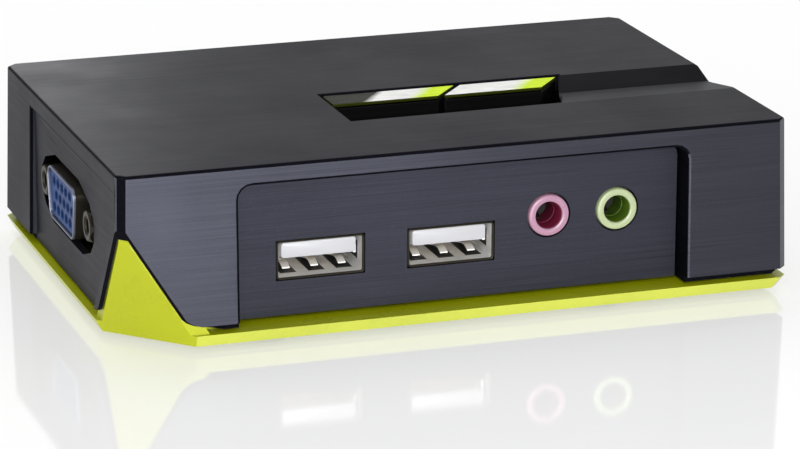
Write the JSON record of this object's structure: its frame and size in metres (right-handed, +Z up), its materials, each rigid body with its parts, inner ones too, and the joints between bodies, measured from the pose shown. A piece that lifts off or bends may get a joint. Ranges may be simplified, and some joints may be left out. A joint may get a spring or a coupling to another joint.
{
  "type": "kvm switch",
  "caption": "Low rectangular desktop box that shares a screen, keyboard, mouse and audio between computers, with side sockets, press keys in a top slot and a slanted lime front corner.",
  "frame": {"origin": "on the desk under the centre of the box", "axes": "+X to the right along the long front face, +Y from the front to the back, +Z up"},
  "size_m": [0.1012, 0.0676, 0.0265],
  "materials": {
    "black_plastic": "matte black",
    "blue_plastic": "blue moulding",
    "board_green": "solder mask over glass laminate",
    "casing_black": "satin black moulding with a fine hairline grain",
    "green_plastic": "light green moulding",
    "key_black": "satin black",
    "led_white": "clear moulding",
    "lens_lime": "glossy translucent cap",
    "lime": "glossy lime green",
    "panel_black": "satin black with a fine hairline grain",
    "pink_plastic": "pink moulding",
    "rubber": "matte",
    "steel": "bright plated",
    "white_plastic": "off-white moulding"
  },
  "bodies": {
    "housing": {"base_tray": "lime", "case_screw_1": "steel", "case_screw_2": "steel", "case_screw_3": "steel", "case_screw_4": "steel", "console_vga_insulator": "blue_plastic", "console_vga_jackscrew_1": "steel", "console_vga_jackscrew_2": "steel", "console_vga_shell": "steel", "front_panel": "panel_black", "key_well": "key_black", "keyboard_usb_shell": "steel", "keyboard_usb_tongue": "white_plastic", "led_a": "led_white", "led_b": "led_white", "main_board": "board_green", "microphone_jack_body": "black_plastic", "microphone_jack_bushing": "pink_plastic", "mouse_usb_shell": "steel", "mouse_usb_tongue": "white_plastic", "pc_a_microphone_jack_body": "black_plastic", "pc_a_microphone_jack_bushing": "pink_plastic", "pc_a_speaker_jack_body": "black_plastic", "pc_a_speaker_jack_bushing": "green_plastic", "pc_a_usb_shell": "steel", "pc_a_usb_tongue": "white_plastic", "pc_a_vga_insulator": "blue_plastic", "pc_a_vga_jackscrew_1": "steel", "pc_a_vga_jackscrew_2": "steel", "pc_a_vga_shell": "steel", "pc_b_microphone_jack_body": "black_plastic", "pc_b_microphone_jack_bushing": "pink_plastic", "pc_b_speaker_jack_body": "black_plastic", "pc_b_speaker_jack_bushing": "green_plastic", "pc_b_usb_shell": "steel", "pc_b_usb_tongue": "white_plastic", "pc_b_vga_insulator": "blue_plastic", "pc_b_vga_jackscrew_1": "steel", "pc_b_vga_jackscrew_2": "steel", "pc_b_vga_shell": "steel", "rear_panel": "panel_black", "right_panel": "panel_black", "rubber_foot_1": "rubber", "rubber_foot_2": "rubber", "rubber_foot_3": "rubber", "rubber_foot_4": "rubber", "speaker_jack_body": "black_plastic", "speaker_jack_bushing": "green_plastic", "tact_switch_a": "black_plastic", "tact_switch_b": "black_plastic", "upper_casing": "casing_black", "video_switch_chip": "black_plastic"},
    "select_key_a": {"select_key_a": "key_black", "key_lens_a": "lens_lime", "switch_plunger_a": "white_plastic"},
    "select_key_b": {"select_key_b": "key_black", "key_lens_b": "lens_lime", "switch_plunger_b": "white_plastic"}
  },
  "joints": [
    {"name": "select_key_a_press", "type": "slide", "parent": "housing", "child": "select_key_a", "axis": [0, 0, -1], "range_m": [0, 0.0006], "stiffness_N_per_m": 1000, "springref_m": -0.0003},
    {"name": "select_key_b_press", "type": "slide", "parent": "housing", "child": "select_key_b", "axis": [0, 0, -1], "range_m": [0, 0.0006], "stiffness_N_per_m": 1000, "springref_m": -0.0003}
  ]
}
